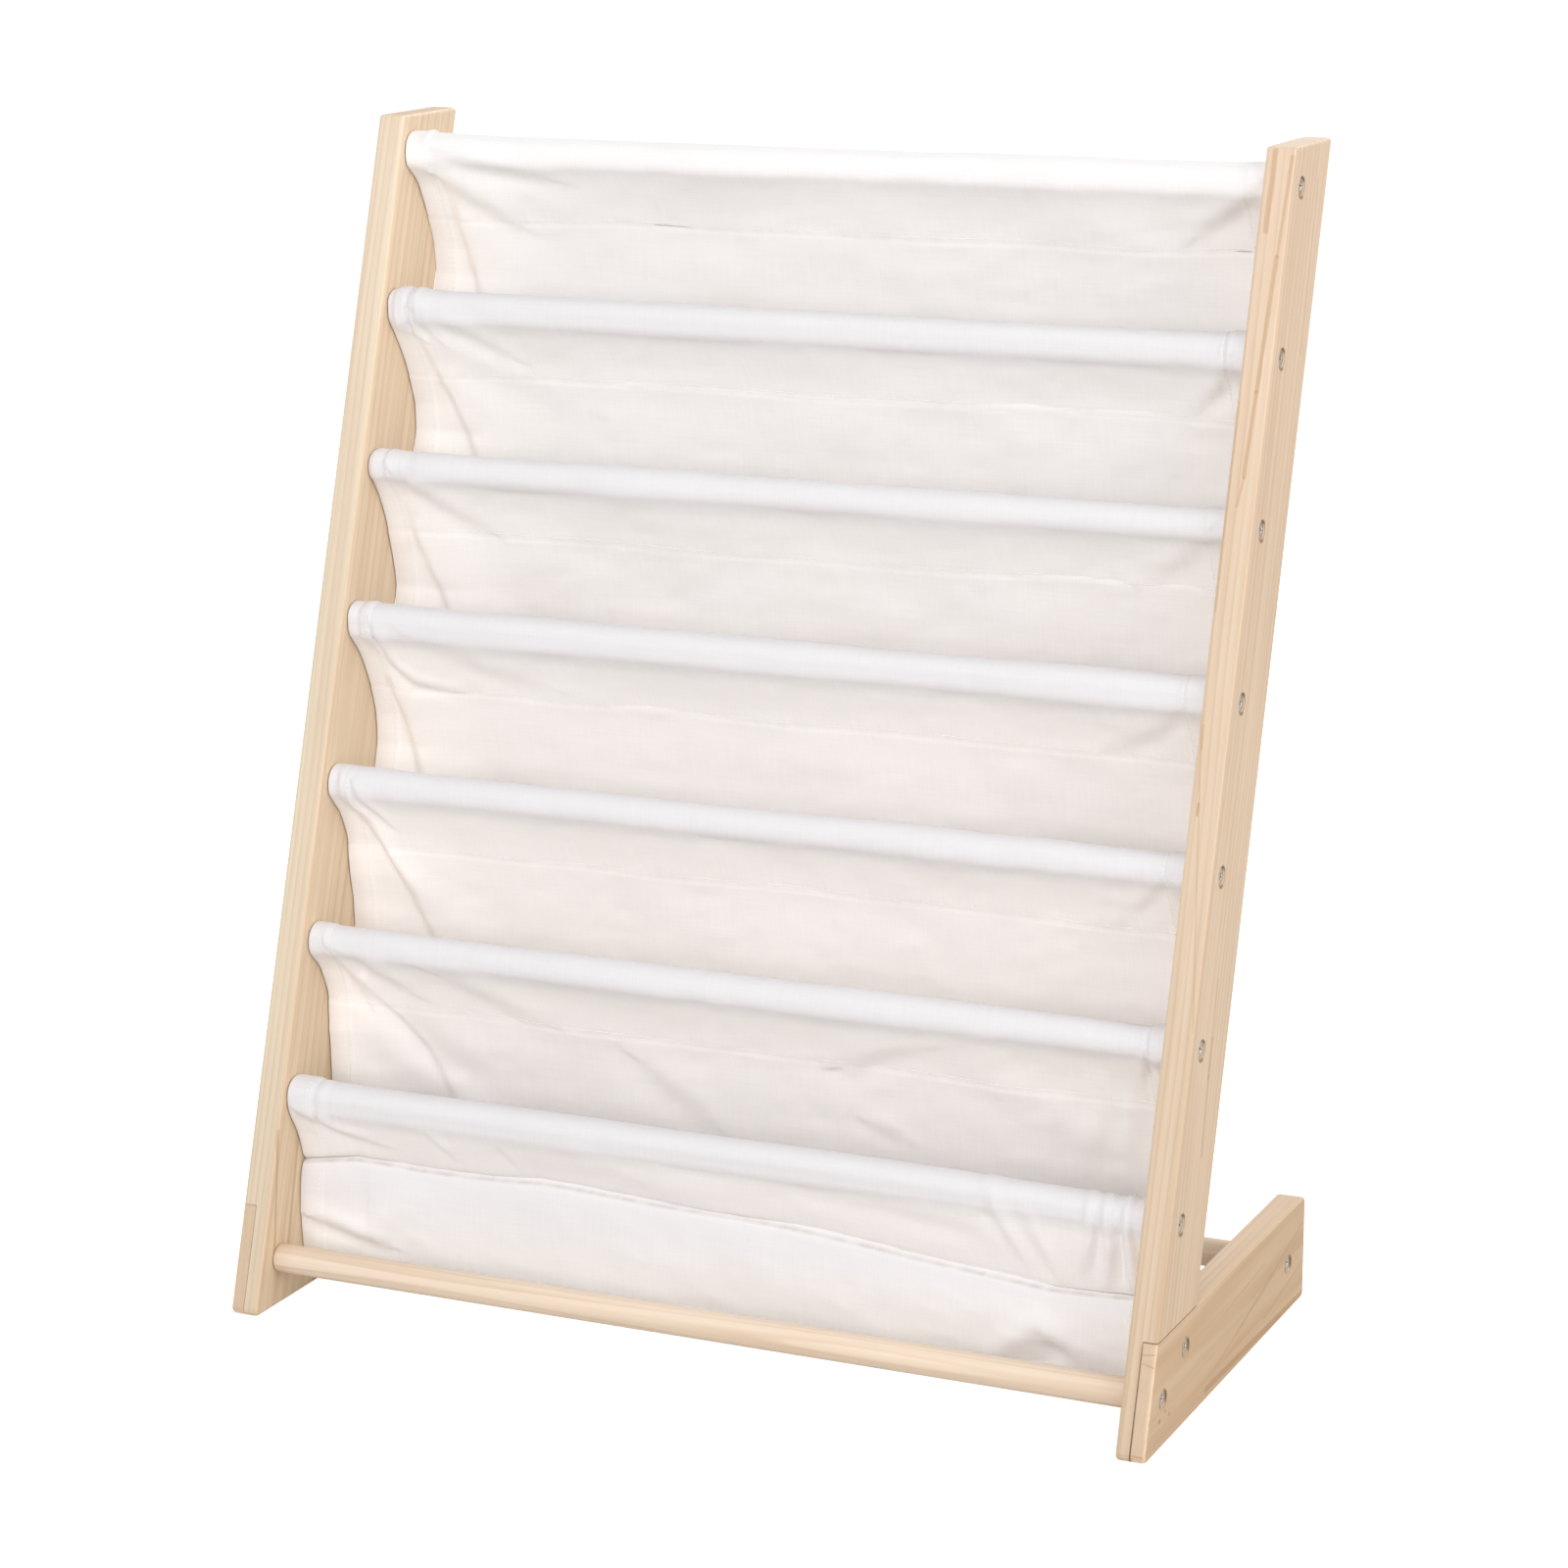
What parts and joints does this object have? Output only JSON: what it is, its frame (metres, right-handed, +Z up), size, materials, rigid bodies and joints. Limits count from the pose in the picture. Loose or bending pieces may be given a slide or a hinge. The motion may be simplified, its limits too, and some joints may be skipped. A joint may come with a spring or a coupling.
{
  "type": "sling bookshelf",
  "caption": "Child's front-facing bookshelf: two leaning wooden sides joined by dowels, with a canvas sling sewn over them into tiers of book pockets.",
  "frame": {"origin": "On the floor, at the middle of the shelf's outline, between the two sides", "axes": "+X to the right as seen from the front, +Y to the rear, +Z up"},
  "size_m": [0.6, 0.2984, 0.722],
  "materials": {
    "pine": "sanded bare pine, matt",
    "canvas": "natural white cotton canvas, plain weave",
    "steel": "zinc-plated screw heads"
  },
  "bodies": {
    "root": {"left_upright": "pine", "left_foot_rail": "pine", "left_sling_screw_1": "steel", "left_sling_screw_2": "steel", "left_sling_screw_3": "steel", "left_sling_screw_4": "steel", "left_sling_screw_5": "steel", "left_sling_screw_6": "steel", "left_sling_screw_7": "steel", "left_front_rail_screw": "steel", "left_rear_screw": "steel", "left_lap_screw": "steel", "right_upright": "pine", "right_foot_rail": "pine", "right_sling_screw_1": "steel", "right_sling_screw_2": "steel", "right_sling_screw_3": "steel", "right_sling_screw_4": "steel", "right_sling_screw_5": "steel", "right_sling_screw_6": "steel", "right_sling_screw_7": "steel", "right_front_rail_screw": "steel", "right_rear_screw": "steel", "right_lap_screw": "steel", "sling_dowel_1": "pine", "sling_sleeve_1": "canvas", "sling_dowel_2": "pine", "sling_sleeve_2": "canvas", "sling_dowel_3": "pine", "sling_sleeve_3": "canvas", "sling_dowel_4": "pine", "sling_sleeve_4": "canvas", "sling_dowel_5": "pine", "sling_sleeve_5": "canvas", "sling_dowel_6": "pine", "sling_sleeve_6": "canvas", "sling_dowel_7": "pine", "sling_sleeve_7": "canvas", "sling_pocket_1": "canvas", "sling_pocket_2": "canvas", "sling_pocket_3": "canvas", "sling_pocket_4": "canvas", "sling_pocket_5": "canvas", "sling_pocket_6": "canvas", "front_rail": "pine", "rear_stretcher": "pine"}
  },
  "joints": []
}
